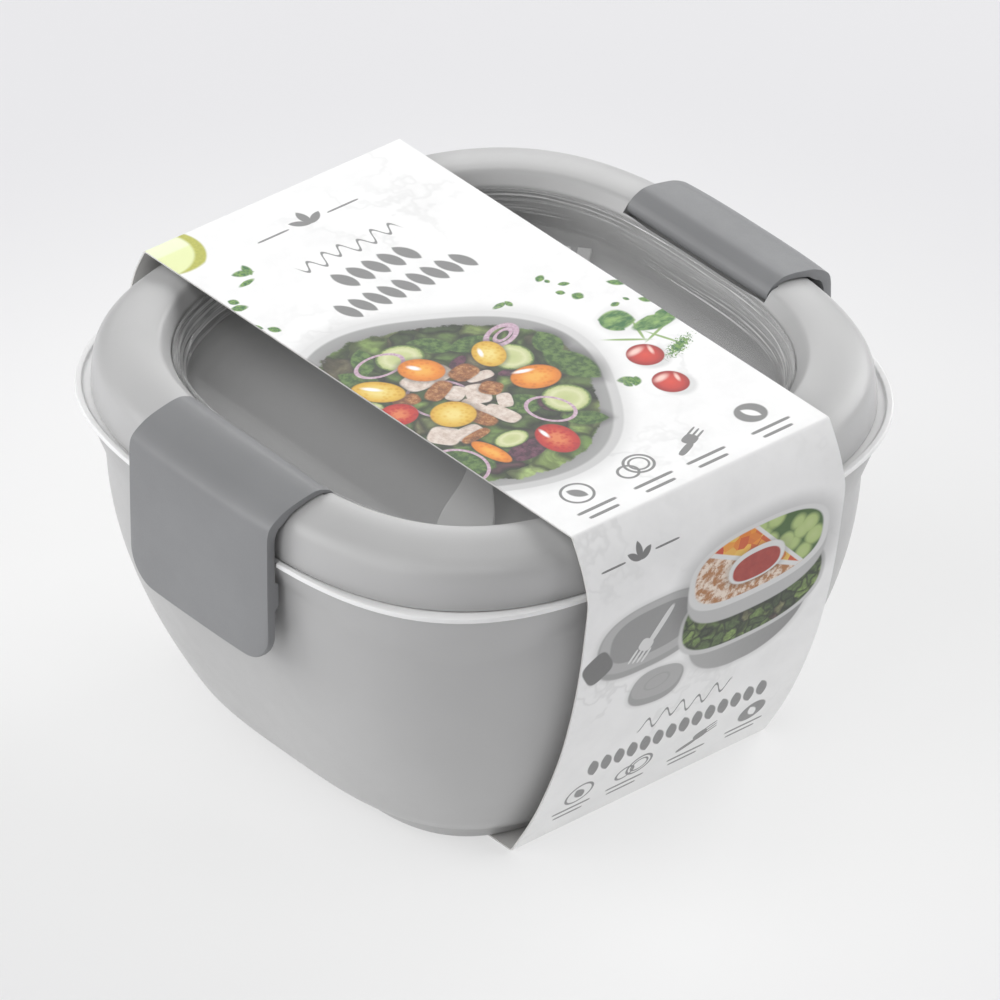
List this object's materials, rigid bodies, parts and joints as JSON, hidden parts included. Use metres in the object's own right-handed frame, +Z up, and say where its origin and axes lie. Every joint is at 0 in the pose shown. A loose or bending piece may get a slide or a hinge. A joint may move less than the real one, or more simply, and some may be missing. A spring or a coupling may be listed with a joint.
{
  "type": "food container",
  "caption": "Square lidded salad container with swing latches, lift-out divided tray, sauce cup, fork under a clear cover and a card sleeve.",
  "frame": {"origin": "on the floor, under the middle of the container", "axes": "+Z up; the latches face -Y and +Y; the sleeve wraps over +X and -X and slides off along -Y"},
  "size_m": [0.1828, 0.187, 0.1079],
  "materials": {
    "bowl": "satin moulded polypropylene, light grey",
    "tray": "satin moulded polypropylene, white",
    "tray_seal": "translucent silicone",
    "sauce_cup": "satin moulded polypropylene, light grey",
    "sauce_lid": "satin moulded polypropylene, light grey",
    "sauce_seal": "translucent silicone",
    "lid": "satin moulded polypropylene, light grey",
    "lid_seal": "translucent silicone",
    "window_cover": "polished clear plastic",
    "fork": "satin moulded plastic, grey",
    "latch": "satin moulded plastic, slate grey",
    "latch_pin": "drawn steel wire",
    "sleeve": "coated white card with a printed salad picture, no lettering"
  },
  "bodies": {
    "bowl": {"bowl": "bowl"},
    "tray": {"tray": "tray", "tray_seal": "tray_seal"},
    "sauce_cup": {"sauce_cup": "sauce_cup"},
    "sauce_lid": {"sauce_lid": "sauce_lid", "sauce_seal": "sauce_seal"},
    "lid": {"lid": "lid", "lid_seal": "lid_seal", "latch_pin_front": "latch_pin", "latch_pin_back": "latch_pin"},
    "window_cover": {"window_cover": "window_cover"},
    "fork": {"fork": "fork"},
    "latch_front": {"latch_front": "latch"},
    "latch_back": {"latch_back": "latch"},
    "sleeve": {"sleeve": "sleeve"}
  },
  "joints": [
    {"name": "sleeve_slide", "type": "slide", "parent": "bowl", "child": "sleeve", "axis": [0, -1, 0], "range_m": [0, 0.19]},
    {"name": "latch_front_swing", "type": "hinge", "parent": "lid", "child": "latch_front", "pos_m": [0, -0.0726, 0.1028], "axis": [-1, 0, 0], "range_deg": [0, 100]},
    {"name": "latch_back_swing", "type": "hinge", "parent": "lid", "child": "latch_back", "pos_m": [0, 0.0726, 0.1028], "axis": [1, 0, 0], "range_deg": [0, 100]},
    {"name": "lid_lift", "type": "slide", "parent": "bowl", "child": "lid", "axis": [0, 0, 1], "range_m": [0, 0.11], "deforming": ["sleeve"]},
    {"name": "tray_lift", "type": "slide", "parent": "bowl", "child": "tray", "axis": [0, 0, 1], "range_m": [0, 0.0551]},
    {"name": "sauce_cup_lift", "type": "slide", "parent": "tray", "child": "sauce_cup", "axis": [0, 0, 1], "range_m": [0, 0.0221]},
    {"name": "sauce_lid_lift", "type": "slide", "parent": "sauce_cup", "child": "sauce_lid", "axis": [0, 0, 1], "range_m": [0, 0.0111]},
    {"name": "cover_lift", "type": "slide", "parent": "lid", "child": "window_cover", "axis": [0, 0, 1], "range_m": [0, 0.0386]},
    {"name": "fork_lift", "type": "slide", "parent": "lid", "child": "fork", "axis": [0, 0, 1], "range_m": [0, 0.0199]}
  ],
  "couplings": [
    {"joint": "tray_lift", "follows": "lid_lift", "ratio": 0.5},
    {"joint": "sauce_cup_lift", "follows": "lid_lift", "ratio": 0.2},
    {"joint": "sauce_lid_lift", "follows": "lid_lift", "ratio": 0.1},
    {"joint": "cover_lift", "follows": "lid_lift", "ratio": 0.35},
    {"joint": "fork_lift", "follows": "lid_lift", "ratio": 0.18}
  ]
}
